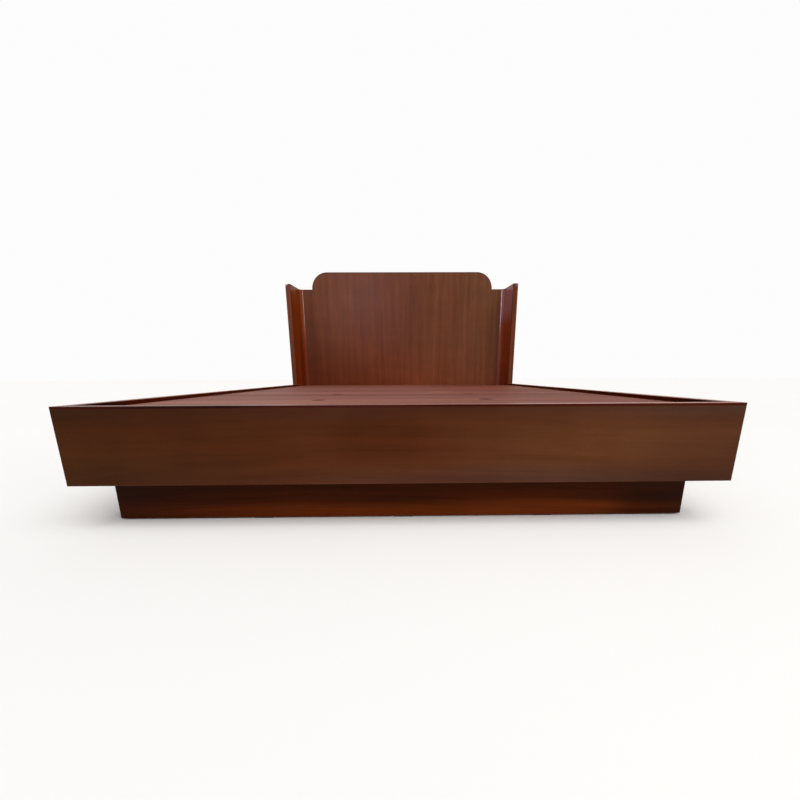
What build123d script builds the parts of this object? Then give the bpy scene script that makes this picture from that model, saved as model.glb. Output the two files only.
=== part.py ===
from build123d import *
from math import cos, radians, sin, tan
import os

# Platform bed with a winged headboard.
# X runs across the bed, Y from the foot to the head, Z up from the floor.
# The origin is on the floor, at the middle of the bed's outline. Millimetres.

# ---------------------------------------------------------------- driving dimensions

# mattress and the well that holds it
mattress_width = 1500.0
mattress_length = 2000.0
mattress_play = 20.0  # gap between mattress and well, on every side
deck_recess = 12.0  # deck's top below the rails' top

# rails
rail_thickness = 28.0
rail_height = 188.0
lipping_thickness = 6.0  # solid wood along each rail's top edge
corner_ease = 1.5  # flat planed on the sharp mitred corners
arris_radius = 1.5  # rounding of the edges that a hand meets

# plinth
plinth_height = 110.0
plinth_inset = 62.0
plinth_thickness = 22.0
glide_height = 4.0
glide_length = 50.0
glide_width = 18.0
glide_corner = 4.5
glide_setback = 50.0  # from the plinth's corners to the middle of the nearest side glide

# headboard
shell_thickness = 32.0
wing_reach = 180.0  # how far the wings stand forward of the panel
wing_splay_angle = 6.0  # degrees that each wing leans outward as it comes forward
cove_radius = 24.0  # inner radius of the bend into each wing
wing_top = 970.0  # height of the wings above the floor
corner_radius = 112.0  # quarter-round corners of the raised middle
corner_rise = 3.0  # short upright below each quarter-round
shoulder_length = 69.0  # level step between each wing's bend and the raised middle
cap_thickness = 5.0  # lipping along the headboard's top edges
nosing_thickness = 8.0  # lipping on the wings' front edges
nosing_radius = 3.0
tongue_thickness = 9.0
tongue_width = 24.0
tongue_slack = 2.0  # left free above and below each tongue, and above its groove
tongue_play = 0.5  # at each side edge of a tongue
head_rail_clearance = 3.0  # between the head rail's ends and the coves

# deck and the frame under it
deck_thickness = 18.0
deck_gap = 2.0  # round each deck panel
seam_gap = 1.5  # between the two deck panels
finger_hole_radius = 24.0
finger_hole_spacing = 544.0
finger_hole_rows = 2
finger_hole_ease = 3.0
deck_ease = 1.5
ledger_width = 30.0
ledger_height = 40.0
bearer_thickness = 38.0
joint_clearance = 0.5  # round the ends, notches and halvings of the frame
block_size = 45.0
block_bevel = 12.0
glue_block_size = 60.0
glue_block_slack = 3.0

# fittings
bracket_leg = 50.0
bracket_hole_reach = 30.0  # from a bracket's corner to its screws
bracket_hole_margin = 15.0  # from a bracket's ends to its screws
bracket_height = 60.0
bracket_thickness = 3.0
bracket_bend = 1.5  # inner radius of the bend
bracket_drop = 18.0  # below the ledger's underside
foot_bracket_width = 30.0
screw_radius = 2.5
screw_head_radius = 5.0
screw_head_top_radius = 4.0
screw_head_height = 2.5
screw_point = 4.0
screw_bite = 15.0  # how deep every screw goes into the wood behind
pilot_clearance = 0.1
ledger_screws_per_bay = 2
foot_ledger_screw_pairs = 2
bolt_radius = 4.0
bolt_head_radius = 8.0
bolt_head_height = 4.5
bolt_head_bevel = 1.5
bolt_socket_radius = 2.5
bolt_socket_depth = 2.5
bolt_spacing = 400.0
bolt_pairs = 2
bolt_hole_clearance = 0.25
thread_clearance = 0.05
insert_radius = 6.0
insert_length = 20.0
insert_overrun = 2.0  # the insert is this much deeper than the bolt's end
hook_plate_width = 16.0
hook_plate_height = 120.0
hook_plate_thickness = 2.5
hook_thickness = 3.0
hook_reach = 11.0
hook_spacing = 60.0
hook_neck = 16.0  # height of the hook where it leaves its plate
hook_lip = 6.0  # how far the hook reaches down behind the slot plate
hook_play = 0.5  # round the hooks in the slots
hook_pocket_play = 1.0  # at each side of the hooks in the wood behind
hook_lift = 7.0  # the rail is raised this far to unhook it

# ---------------------------------------------------------------- places worked out from them

well_width = mattress_width + 2 * mattress_play
well_length = mattress_length + 2 * mattress_play
bed_width = well_width + 2 * rail_thickness
bed_length = rail_thickness + well_length + shell_thickness

half_width = bed_width / 2
x_rail_inner = well_width / 2
x_plinth = half_width - plinth_inset
x_plinth_inner = x_plinth - plinth_thickness

y_foot = -bed_length / 2
y_foot_inner = y_foot + rail_thickness
y_panel_face = y_foot_inner + well_length
y_back = y_panel_face + shell_thickness
y_wing_front = y_panel_face - wing_reach
y_wing_core = y_wing_front + nosing_thickness
y_head_rail = y_panel_face - rail_thickness
y_plinth_foot = y_foot + plinth_inset
y_plinth_head = y_back - plinth_inset
y_seam = (y_foot_inner + y_panel_face) / 2

splay = radians(wing_splay_angle)
x_wing_inner = half_width - shell_thickness / cos(splay)
nosing_shift = nosing_thickness * tan(splay)
y_bend_centre = y_panel_face - cove_radius
y_bend = y_bend_centre + cove_radius * sin(splay)
x_bend = x_wing_inner - (y_bend - y_wing_front) * tan(splay)
x_shell_joint = x_bend - cove_radius * cos(splay)
shoulder_half = x_shell_joint - shoulder_length
outer_bend_radius = cove_radius + shell_thickness

z_frame = plinth_height
z_rail_top = z_frame + rail_height
z_lipping = z_rail_top - lipping_thickness
z_deck_top = z_rail_top - deck_recess
z_deck = z_deck_top - deck_thickness
z_ledger = z_deck - ledger_height
z_lap = (z_frame + z_deck) / 2
z_cap = wing_top - cap_thickness
z_spring = wing_top + corner_rise
z_panel_top = z_spring + corner_radius

frame_depth = z_deck - z_frame
pilot_radius = screw_radius + pilot_clearance

bearer_names = ("bearer_foot", "bearer_middle", "bearer_head")
bay_count = len(bearer_names) + 1
bay_length = well_length / bay_count
bearer_places = [y_foot_inner + bay_length * n for n in range(1, bay_count)]

cross_rail_names = ("plinth_cross_rail_foot", "plinth_cross_rail_head")
cross_rail_pitch = (y_plinth_head - y_plinth_foot) / (len(cross_rail_names) + 1)
cross_rail_places = [y_plinth_foot + cross_rail_pitch, y_plinth_head - cross_rail_pitch]


# ---------------------------------------------------------------- shared outlines


def closed_outline(*points):
    """A flat face through the points, in order."""
    with BuildSketch() as face:
        with BuildLine():
            Polyline(*points, close=True)
        make_face()
    return face.sketch


def mitred_edge(length, thickness, ease):
    """Plan of a mitred board: outer edge on the X axis, board towards +Y, corners eased."""
    end = length / 2
    return closed_outline(
        (-end + ease, 0),
        (end - ease, 0),
        (end - ease / 2, ease / 2),
        (end - thickness, thickness),
        (-end + thickness, thickness),
        (-end + ease / 2, ease / 2),
    )


def side_rail_plan():
    """Plan of the right side rail: mitred at the foot, square against the wing."""
    return closed_outline(
        (half_width, y_foot + corner_ease),
        (half_width, y_wing_front),
        (x_rail_inner, y_wing_front),
        (x_rail_inner, y_foot_inner),
        (half_width - corner_ease / 2, y_foot + corner_ease / 2),
    )


def bent_wing_plan():
    """Plan of the right wing: one thickness, from the panel round the cove to the nosing."""
    outer_bend_end = (
        x_shell_joint + outer_bend_radius * cos(splay),
        y_bend_centre + outer_bend_radius * sin(splay),
    )
    with BuildSketch() as plan:
        with BuildLine():
            inner_leg = Line((x_wing_inner - nosing_shift, y_wing_core), (x_bend, y_bend))
            inner_bend = TangentArc(inner_leg @ 1, (x_shell_joint, y_panel_face), tangent=inner_leg % 1)
            root = Line(inner_bend @ 1, (x_shell_joint, y_back))
            outer_bend = TangentArc(root @ 1, outer_bend_end, tangent=(1, 0))
            outer_leg = Line(outer_bend @ 1, (half_width - nosing_shift, y_wing_core))
            Line(outer_leg @ 1, inner_leg @ 0)
        make_face()
    return plan.sketch


def headboard_outline(inset):
    """Front view of the headboard panel, with its top edges lowered by inset."""
    with BuildSketch() as face:
        with BuildLine():
            base = Line((0, z_frame), (x_shell_joint, z_frame))
            side = Line(base @ 1, (x_shell_joint, wing_top - inset))
            shoulder = Line(side @ 1, (shoulder_half - inset, wing_top - inset))
            rise = Line(shoulder @ 1, (shoulder_half - inset, z_spring))
            corner = TangentArc(
                rise @ 1, (shoulder_half - corner_radius, z_panel_top - inset), tangent=(0, 1)
            )
            top = Line(corner @ 1, (0, z_panel_top - inset))
            Line(top @ 1, base @ 0)
        make_face()
        mirror(about=Plane.YZ)
    return face.sketch


def notched_end(x_end, z_bottom, z_top):
    """Half of a frame member's side view: its end stands back under the ledger."""
    x_notch = x_end - ledger_width
    z_notch = z_top - ledger_height - joint_clearance
    return closed_outline(
        (0, z_bottom), (x_end, z_bottom), (x_end, z_notch), (x_notch, z_notch), (x_notch, z_top), (0, z_top)
    )


# ---------------------------------------------------------------- shared fittings


def seats(places, direction, sides=(1, -1)):
    """Where fasteners sit: the underside of each head, and the way its point goes.

    The places and the direction are those of the right side; the left is its mirror image.
    """
    along_x, along_y, along_z = direction
    return [
        Plane(origin=(side * x, y, z), z_dir=(side * along_x, along_y, along_z)).location
        for side in sides
        for x, y, z in places
    ]


def drillings(locations, radius, depth):
    """Round cutters, one at each location."""
    with BuildPart() as cutters:
        with Locations(*locations):
            Cylinder(radius, depth, align=(Align.CENTER, Align.CENTER, Align.MIN))
    return cutters.part


def wood_screw(length):
    """Pan-head wood screw along +Z, its head below the XY plane."""
    with BuildPart() as screw:
        with BuildSketch(Plane.XZ):
            with BuildLine():
                Polyline(
                    (0, length),
                    (screw_radius, length - screw_point),
                    (screw_radius, 0),
                    (screw_head_radius, 0),
                    (screw_head_top_radius, -screw_head_height),
                    (0, -screw_head_height),
                    close=True,
                )
            make_face()
        revolve(axis=Axis.Z)
    return screw.part


def angle_bracket(width):
    """Bent steel angle: legs along -X and -Y from its corner, width along +Z."""
    with BuildPart() as bracket:
        with BuildSketch() as end_view:
            Rectangle(bracket_leg, bracket_thickness, align=(Align.MAX, Align.MAX))
            Rectangle(bracket_thickness, bracket_leg, align=(Align.MAX, Align.MAX))
            by_corner = end_view.vertices().sort_by_distance((0, 0, 0))
            fillet(by_corner[0], bracket_bend + bracket_thickness)
            inner_corner = end_view.vertices().sort_by_distance((-bracket_thickness, -bracket_thickness, 0))
            fillet(inner_corner[0], bracket_bend)
        extrude(amount=width)
    return bracket.part


# ---------------------------------------------------------------- where the fasteners go

short_screw = bracket_thickness + screw_bite
long_screw = ledger_width + screw_bite

z_bracket_top = z_ledger - bracket_drop
z_bracket = z_bracket_top - bracket_height
bracket_rows = (z_bracket + bracket_hole_margin, z_bracket_top - bracket_hole_margin)
y_bearer_faces = [y - bearer_thickness / 2 for y in bearer_places]

rail_bracket_places = [
    (x_rail_inner - bracket_thickness, y - bracket_hole_reach, z)
    for y in y_bearer_faces
    for z in bracket_rows
]
bearer_bracket_places = [
    (x_rail_inner - bracket_hole_reach, y - bracket_thickness, z)
    for y in y_bearer_faces
    for z in bracket_rows
]
plinth_side_places = [
    (x_plinth_inner - bracket_thickness, y, z_frame - bracket_hole_reach) for y in bearer_places
]
plinth_bearer_places = [
    (x_plinth_inner - bracket_hole_reach, y, z_frame - bracket_thickness) for y in bearer_places
]

y_ledger_foot = y_foot_inner + block_size + joint_clearance
y_ledger_head = y_wing_front - joint_clearance
x_foot_ledger = x_rail_inner - block_size - joint_clearance
z_ledger_middle = z_ledger + ledger_height / 2
ledger_screw_pitch = bay_length / (ledger_screws_per_bay + 1)
side_ledger_places = [
    (x_rail_inner - ledger_width, y_foot_inner + bay_length * bay + ledger_screw_pitch * n, z_ledger_middle)
    for bay in range(bay_count)
    for n in range(1, ledger_screws_per_bay + 1)
    if y_foot_inner + bay_length * bay + ledger_screw_pitch * n < y_ledger_head - ledger_height
]
foot_ledger_places = [
    (x_foot_ledger * (n + 0.5) / foot_ledger_screw_pairs, y_foot_inner + ledger_width, z_ledger_middle)
    for n in range(foot_ledger_screw_pairs)
]

rail_bracket_drillings = drillings(
    seats(rail_bracket_places, (1, 0, 0), sides=(1,)), pilot_radius, short_screw
)
bearer_bracket_drillings = drillings(
    seats(bearer_bracket_places, (0, 1, 0), sides=(1,)), pilot_radius, short_screw
)
plinth_side_drillings = drillings(
    seats(plinth_side_places, (1, 0, 0), sides=(1,)), pilot_radius, short_screw
)
plinth_bearer_drillings = drillings(
    seats(plinth_bearer_places, (0, 0, 1), sides=(1,)), pilot_radius, short_screw
)
side_ledger_drillings = drillings(
    seats(side_ledger_places, (1, 0, 0), sides=(1,)), pilot_radius, long_screw
)
foot_ledger_drillings = drillings(seats(foot_ledger_places, (0, -1, 0)), pilot_radius, long_screw)

x_bolts = [bolt_spacing * (n + 0.5) for n in range(bolt_pairs)]
bolt_length = rail_thickness + insert_length - insert_overrun
bolt_seats = seats([(x, y_head_rail, z_lap) for x in x_bolts], (0, 1, 0))
insert_seats = seats([(x, y_panel_face, z_lap) for x in x_bolts], (0, 1, 0))

x_hook = half_width - rail_thickness / 2
z_hook_plate = (z_frame + z_lipping) / 2
hook_heights = (z_hook_plate - hook_spacing / 2, z_hook_plate + hook_spacing / 2)

os.makedirs("parts", exist_ok=True)

# ---------------------------------------------------------------- rails

with BuildPart() as foot_rail:
    with BuildSketch(Plane.XY.offset(z_frame)):
        with Locations((0, y_foot)):
            add(mitred_edge(bed_width, rail_thickness, corner_ease))
    extrude(amount=z_lipping - z_frame)
    under_edge = foot_rail.edges().filter_by(Axis.X).group_by(Axis.Z)[0].sort_by(Axis.Y)[0]
    fillet(under_edge, arris_radius)
    add(foot_ledger_drillings, mode=Mode.SUBTRACT)
foot_rail.part.label = "foot_rail"
export_step(foot_rail.part, "parts/foot_rail.step")

with BuildPart() as side_rail_right:
    with BuildSketch(Plane.XY.offset(z_frame)):
        add(side_rail_plan())
    extrude(amount=z_lipping - z_frame)
    under_edge = side_rail_right.edges().filter_by(Axis.Y).group_by(Axis.Z)[0].sort_by(Axis.X)[-1]
    fillet(under_edge, arris_radius)
    add(side_ledger_drillings, mode=Mode.SUBTRACT)
    add(rail_bracket_drillings, mode=Mode.SUBTRACT)
    with Locations((x_hook, y_wing_front, z_hook_plate)):
        Box(
            hook_plate_width,
            hook_plate_thickness,
            hook_plate_height,
            align=(Align.CENTER, Align.MAX, Align.CENTER),
            mode=Mode.SUBTRACT,
        )
side_rail_right.part.label = "side_rail_right"
export_step(side_rail_right.part, "parts/side_rail_right.step")

with BuildPart() as side_rail_left:
    mirror(side_rail_right.part, about=Plane.YZ)
side_rail_left.part.label = "side_rail_left"
export_step(side_rail_left.part, "parts/side_rail_left.step")

with BuildPart() as foot_rail_lipping:
    with BuildSketch(Plane.XY.offset(z_lipping)):
        with Locations((0, y_foot)):
            add(mitred_edge(bed_width, rail_thickness, corner_ease))
    extrude(amount=lipping_thickness)
    fillet(foot_rail_lipping.edges().filter_by(Axis.X).group_by(Axis.Z)[-1], arris_radius)
foot_rail_lipping.part.label = "foot_rail_lipping"
export_step(foot_rail_lipping.part, "parts/foot_rail_lipping.step")

with BuildPart() as side_rail_lipping_right:
    with BuildSketch(Plane.XY.offset(z_lipping)):
        add(side_rail_plan())
    extrude(amount=lipping_thickness)
    fillet(side_rail_lipping_right.edges().filter_by(Axis.Y).group_by(Axis.Z)[-1], arris_radius)
side_rail_lipping_right.part.label = "side_rail_lipping_right"
export_step(side_rail_lipping_right.part, "parts/side_rail_lipping_right.step")

with BuildPart() as side_rail_lipping_left:
    mirror(side_rail_lipping_right.part, about=Plane.YZ)
side_rail_lipping_left.part.label = "side_rail_lipping_left"
export_step(side_rail_lipping_left.part, "parts/side_rail_lipping_left.step")

# ---------------------------------------------------------------- frame under the deck

with BuildPart() as corner_block_right:
    with BuildSketch(Plane.XY.offset(z_frame)) as plan:
        with Locations((x_rail_inner, y_foot_inner)):
            Rectangle(block_size, block_size, align=(Align.MAX, Align.MIN))
        inner_corner = plan.vertices().sort_by_distance((0, 0, z_frame))[0]
        chamfer(inner_corner, block_bevel)
    extrude(amount=frame_depth)
corner_block_right.part.label = "corner_block_right"
export_step(corner_block_right.part, "parts/corner_block_right.step")

with BuildPart() as corner_block_left:
    mirror(corner_block_right.part, about=Plane.YZ)
corner_block_left.part.label = "corner_block_left"
export_step(corner_block_left.part, "parts/corner_block_left.step")

with BuildPart() as foot_ledger:
    with Locations((0, y_foot_inner, z_ledger)):
        Box(2 * x_foot_ledger, ledger_width, ledger_height, align=(Align.CENTER, Align.MIN, Align.MIN))
    add(foot_ledger_drillings, mode=Mode.SUBTRACT)
foot_ledger.part.label = "foot_ledger"
export_step(foot_ledger.part, "parts/foot_ledger.step")

with BuildPart() as side_ledger_right:
    with Locations((x_rail_inner, y_ledger_foot, z_ledger)):
        Box(
            ledger_width,
            y_ledger_head - y_ledger_foot,
            ledger_height,
            align=(Align.MAX, Align.MIN, Align.MIN),
        )
    add(side_ledger_drillings, mode=Mode.SUBTRACT)
side_ledger_right.part.label = "side_ledger_right"
export_step(side_ledger_right.part, "parts/side_ledger_right.step")

with BuildPart() as side_ledger_left:
    mirror(side_ledger_right.part, about=Plane.YZ)
side_ledger_left.part.label = "side_ledger_left"
export_step(side_ledger_left.part, "parts/side_ledger_left.step")

with BuildPart() as head_rail:
    with Locations((0, y_head_rail, z_frame)):
        Box(
            2 * (x_shell_joint - head_rail_clearance),
            rail_thickness,
            frame_depth,
            align=(Align.CENTER, Align.MIN, Align.MIN),
        )
    add(drillings(bolt_seats, bolt_radius + bolt_hole_clearance, rail_thickness), mode=Mode.SUBTRACT)
head_rail.part.label = "head_rail"
export_step(head_rail.part, "parts/head_rail.step")

bearer_seats = seats(bearer_bracket_places, (0, 1, 0)) + seats(plinth_bearer_places, (0, 0, 1))
for bearer_name, y_bearer in zip(bearer_names, bearer_places):
    with BuildPart() as bearer:
        with BuildSketch(Plane.XZ.offset(-y_bearer)):
            add(notched_end(x_rail_inner - joint_clearance, z_frame, z_deck))
            mirror(about=Plane.YZ)
            with Locations((0, z_deck)):
                Rectangle(
                    bearer_thickness + joint_clearance,
                    z_deck - z_lap,
                    align=(Align.CENTER, Align.MAX),
                    mode=Mode.SUBTRACT,
                )
        extrude(amount=bearer_thickness / 2, both=True)
        add(drillings(bearer_seats, pilot_radius, short_screw), mode=Mode.SUBTRACT)
    bearer.part.label = bearer_name
    export_step(bearer.part, f"parts/{bearer_name}.step")

with BuildPart() as spine:
    with BuildSketch(Plane.YZ) as side_view:
        with Locations((y_head_rail - joint_clearance, z_frame)):
            Rectangle(
                y_head_rail - y_foot_inner - 2 * joint_clearance, frame_depth, align=(Align.MAX, Align.MIN)
            )
        with Locations((y_foot_inner + joint_clearance, z_deck)):
            Rectangle(
                ledger_width,
                ledger_height + joint_clearance,
                align=(Align.MIN, Align.MAX),
                mode=Mode.SUBTRACT,
            )
        with Locations(*[(y, z_frame) for y in bearer_places]):
            Rectangle(
                bearer_thickness + joint_clearance,
                z_lap - z_frame,
                align=(Align.CENTER, Align.MIN),
                mode=Mode.SUBTRACT,
            )
    extrude(amount=bearer_thickness / 2, both=True)
spine.part.label = "spine"
export_step(spine.part, "parts/spine.step")

# ---------------------------------------------------------------- plinth

with BuildPart() as plinth_front:
    with BuildSketch(Plane.XY.offset(glide_height)):
        with Locations((0, y_plinth_foot)):
            add(mitred_edge(2 * x_plinth, plinth_thickness, corner_ease))
    extrude(amount=plinth_height - glide_height)
plinth_front.part.label = "plinth_front"
export_step(plinth_front.part, "parts/plinth_front.step")

with BuildPart() as plinth_rear:
    with BuildSketch(Plane.XY.offset(glide_height)):
        with Locations(Location((0, y_plinth_head, 0), (0, 0, 180))):
            add(mitred_edge(2 * x_plinth, plinth_thickness, corner_ease))
    extrude(amount=plinth_height - glide_height)
plinth_rear.part.label = "plinth_rear"
export_step(plinth_rear.part, "parts/plinth_rear.step")

with BuildPart() as plinth_side_right:
    with BuildSketch(Plane.XY.offset(glide_height)):
        with Locations(Location((x_plinth, (y_plinth_foot + y_plinth_head) / 2, 0), (0, 0, 90))):
            add(mitred_edge(y_plinth_head - y_plinth_foot, plinth_thickness, corner_ease))
    extrude(amount=plinth_height - glide_height)
    add(plinth_side_drillings, mode=Mode.SUBTRACT)
plinth_side_right.part.label = "plinth_side_right"
export_step(plinth_side_right.part, "parts/plinth_side_right.step")

with BuildPart() as plinth_side_left:
    mirror(plinth_side_right.part, about=Plane.YZ)
plinth_side_left.part.label = "plinth_side_left"
export_step(plinth_side_left.part, "parts/plinth_side_left.step")

for cross_rail_name, y_cross_rail in zip(cross_rail_names, cross_rail_places):
    with BuildPart() as plinth_cross_rail:
        with Locations((0, y_cross_rail, glide_height)):
            Box(
                2 * (x_plinth_inner - joint_clearance),
                plinth_thickness,
                plinth_height - glide_height,
                align=(Align.CENTER, Align.CENTER, Align.MIN),
            )
    plinth_cross_rail.part.label = cross_rail_name
    export_step(plinth_cross_rail.part, f"parts/{cross_rail_name}.step")

with BuildPart() as plinth_glue_blocks:
    with BuildSketch(Plane.XY.offset(glide_height + glue_block_slack)):
        with Locations((x_plinth_inner, y_plinth_foot + plinth_thickness)):
            add(closed_outline((0, 0), (-glue_block_size, 0), (0, glue_block_size)))
        with Locations((x_plinth_inner, y_plinth_head - plinth_thickness)):
            add(closed_outline((0, 0), (-glue_block_size, 0), (0, -glue_block_size)))
        mirror(about=Plane.YZ)
    extrude(amount=plinth_height - glide_height - 2 * glue_block_slack)
plinth_glue_blocks.part.label = "plinth_glue_blocks"
export_step(plinth_glue_blocks.part, "parts/plinth_glue_blocks.step")

x_side_glides = x_plinth - plinth_thickness / 2
y_end_glides = y_plinth_head - plinth_thickness / 2
y_corner_glides = y_plinth_head - glide_setback
end_glide_places = [(x, y) for x in (-x_plinth / 2, 0, x_plinth / 2) for y in (-y_end_glides, y_end_glides)]
middle_glide_places = [(0, y) for y in cross_rail_places]
side_glide_places = [
    (x, y) for x in (-x_side_glides, x_side_glides) for y in (-y_corner_glides, 0, y_corner_glides)
]

with BuildPart() as plinth_glides:
    with BuildSketch():
        with Locations(*end_glide_places, *middle_glide_places):
            RectangleRounded(glide_length, glide_width, glide_corner)
        with Locations(*side_glide_places):
            RectangleRounded(glide_width, glide_length, glide_corner)
    extrude(amount=glide_height)
plinth_glides.part.label = "plinth_glides"
export_step(plinth_glides.part, "parts/plinth_glides.step")

# ---------------------------------------------------------------- headboard

y_tongue = y_panel_face + shell_thickness / 2
z_groove_top = z_cap - tongue_slack
tongue_length = z_groove_top - z_frame - 2 * tongue_slack

with BuildPart() as headboard_panel:
    with BuildSketch(Plane.XZ.offset(-y_back)):
        add(headboard_outline(cap_thickness))
    extrude(amount=shell_thickness)
    with BuildSketch(Plane.XY.offset(z_frame)):
        with Locations((x_shell_joint, y_tongue), (-x_shell_joint, y_tongue)):
            Rectangle(tongue_width, tongue_thickness)
    extrude(amount=z_groove_top - z_frame, mode=Mode.SUBTRACT)
    add(drillings(insert_seats, insert_radius + thread_clearance, insert_length), mode=Mode.SUBTRACT)
headboard_panel.part.label = "headboard_panel"
export_step(headboard_panel.part, "parts/headboard_panel.step")

with BuildPart() as headboard_cap:
    with BuildSketch(Plane.XZ.offset(-y_back)):
        add(headboard_outline(0))
        add(headboard_outline(cap_thickness), mode=Mode.SUBTRACT)
    extrude(amount=shell_thickness)
    rims = headboard_cap.edges().filter_by(Plane.XZ)
    outer_arcs = rims.filter_by(GeomType.CIRCLE).group_by(SortBy.RADIUS)[-1]
    level_rims = rims.filter_by(Axis.X).group_by(Axis.Z)
    fillet(outer_arcs + level_rims[1] + level_rims[-1], arris_radius)
headboard_cap.part.label = "headboard_cap"
export_step(headboard_cap.part, "parts/headboard_cap.step")

z_hook_pockets = [z - hook_neck / 2 - hook_lip - hook_play for z in hook_heights]

with BuildPart() as hook_pockets:
    with Locations(*[(x_hook, y_wing_front, z) for z in z_hook_pockets]):
        Box(
            hook_thickness + 2 * hook_pocket_play,
            hook_reach + hook_play,
            hook_neck + hook_lip + hook_lift + 2 * hook_play,
            align=(Align.CENTER, Align.MIN, Align.MIN),
        )

with BuildPart() as wing_right:
    with BuildSketch(Plane.XY.offset(z_frame)):
        add(bent_wing_plan())
    extrude(amount=z_cap - z_frame)
    with BuildSketch(Plane.XY.offset(z_frame)):
        with Locations((x_shell_joint, y_tongue)):
            Rectangle(tongue_width, tongue_thickness)
    extrude(amount=z_groove_top - z_frame, mode=Mode.SUBTRACT)
    add(hook_pockets.part, mode=Mode.SUBTRACT)
wing_right.part.label = "wing_right"
export_step(wing_right.part, "parts/wing_right.step")

with BuildPart() as wing_left:
    mirror(wing_right.part, about=Plane.YZ)
wing_left.part.label = "wing_left"
export_step(wing_left.part, "parts/wing_left.step")

with BuildPart() as wing_cap_right:
    with BuildSketch(Plane.XY.offset(z_cap)):
        add(bent_wing_plan())
    extrude(amount=cap_thickness)
    top_rims = wing_cap_right.edges().group_by(Axis.Z)[-1]
    long_rims = top_rims.filter_by(GeomType.LINE).sort_by(SortBy.LENGTH)[-2:]
    fillet(top_rims.filter_by(GeomType.CIRCLE) + long_rims, arris_radius)
wing_cap_right.part.label = "wing_cap_right"
export_step(wing_cap_right.part, "parts/wing_cap_right.step")

with BuildPart() as wing_cap_left:
    mirror(wing_cap_right.part, about=Plane.YZ)
wing_cap_left.part.label = "wing_cap_left"
export_step(wing_cap_left.part, "parts/wing_cap_left.step")

with BuildPart() as wing_nosing_right:
    with BuildSketch(Plane.XY.offset(z_frame)):
        add(
            closed_outline(
                (x_wing_inner, y_wing_front),
                (half_width, y_wing_front),
                (half_width - nosing_shift, y_wing_core),
                (x_wing_inner - nosing_shift, y_wing_core),
            )
        )
    extrude(amount=wing_top - z_frame)
    front_face = wing_nosing_right.faces().sort_by(Axis.Y)[0]
    fillet(front_face.edges().filter_by(Axis.Z), nosing_radius)
    fillet(wing_nosing_right.edges().group_by(Axis.Z)[-1].sort_by(Axis.Y)[:-1], arris_radius)
    with Locations((x_hook, y_wing_front, z_hook_plate)):
        Box(
            hook_plate_width,
            hook_plate_thickness,
            hook_plate_height,
            align=(Align.CENTER, Align.MIN, Align.CENTER),
            mode=Mode.SUBTRACT,
        )
    add(hook_pockets.part, mode=Mode.SUBTRACT)
wing_nosing_right.part.label = "wing_nosing_right"
export_step(wing_nosing_right.part, "parts/wing_nosing_right.step")

with BuildPart() as wing_nosing_left:
    mirror(wing_nosing_right.part, about=Plane.YZ)
wing_nosing_left.part.label = "wing_nosing_left"
export_step(wing_nosing_left.part, "parts/wing_nosing_left.step")

with BuildPart() as wing_tongue_right:
    with Locations((x_shell_joint, y_tongue, z_frame + tongue_slack)):
        Box(
            tongue_width - 2 * tongue_play,
            tongue_thickness,
            tongue_length,
            align=(Align.CENTER, Align.CENTER, Align.MIN),
        )
wing_tongue_right.part.label = "wing_tongue_right"
export_step(wing_tongue_right.part, "parts/wing_tongue_right.step")

with BuildPart() as wing_tongue_left:
    mirror(wing_tongue_right.part, about=Plane.YZ)
wing_tongue_left.part.label = "wing_tongue_left"
export_step(wing_tongue_left.part, "parts/wing_tongue_left.step")

# ---------------------------------------------------------------- deck

x_deck = x_rail_inner - deck_gap
y_deck_foot = y_foot_inner + deck_gap
y_deck_head = y_panel_face - deck_gap
x_deck_head = x_wing_inner - (y_deck_head - y_wing_front) * tan(splay) - deck_gap / cos(splay)
y_deck_taper = y_deck_head - (x_deck - x_deck_head) / tan(splay)
finger_hole_pitch = (y_seam - y_foot_inner) / (finger_hole_rows + 1)

with BuildPart() as deck_panel_foot:
    with BuildSketch(Plane.XY.offset(z_deck)):
        with Locations((0, y_deck_foot)):
            Rectangle(2 * x_deck, y_seam - seam_gap / 2 - y_deck_foot, align=(Align.CENTER, Align.MIN))
        with Locations((0, (y_foot_inner + y_seam) / 2)):
            with GridLocations(finger_hole_spacing, finger_hole_pitch, 2, finger_hole_rows):
                Circle(finger_hole_radius, mode=Mode.SUBTRACT)
    extrude(amount=deck_thickness)
    hole_rims = deck_panel_foot.edges().filter_by(GeomType.CIRCLE)
    fillet(hole_rims, finger_hole_ease)
    chamfer(deck_panel_foot.faces().sort_by(Axis.Z)[-1].outer_wire().edges(), deck_ease)
deck_panel_foot.part.label = "deck_panel_foot"
export_step(deck_panel_foot.part, "parts/deck_panel_foot.step")

with BuildPart() as deck_panel_head:
    with BuildSketch(Plane.XY.offset(z_deck)) as head_plan:
        add(
            closed_outline(
                (-x_deck, y_seam + seam_gap / 2),
                (x_deck, y_seam + seam_gap / 2),
                (x_deck, y_deck_taper),
                (x_deck_head, y_deck_head),
                (-x_deck_head, y_deck_head),
                (-x_deck, y_deck_taper),
            )
        )
        fillet(head_plan.vertices().group_by(Axis.Y)[-1], cove_radius - deck_gap)
        with Locations((0, (y_seam + y_panel_face) / 2)):
            with GridLocations(finger_hole_spacing, finger_hole_pitch, 2, finger_hole_rows):
                Circle(finger_hole_radius, mode=Mode.SUBTRACT)
    extrude(amount=deck_thickness)
    hole_rims = [
        rim for rim in deck_panel_head.edges().filter_by(GeomType.CIRCLE) if rim.is_closed
    ]
    fillet(hole_rims, finger_hole_ease)
    chamfer(deck_panel_head.faces().sort_by(Axis.Z)[-1].outer_wire().edges(), deck_ease)
deck_panel_head.part.label = "deck_panel_head"
export_step(deck_panel_head.part, "parts/deck_panel_head.step")

# ---------------------------------------------------------------- fittings

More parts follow.
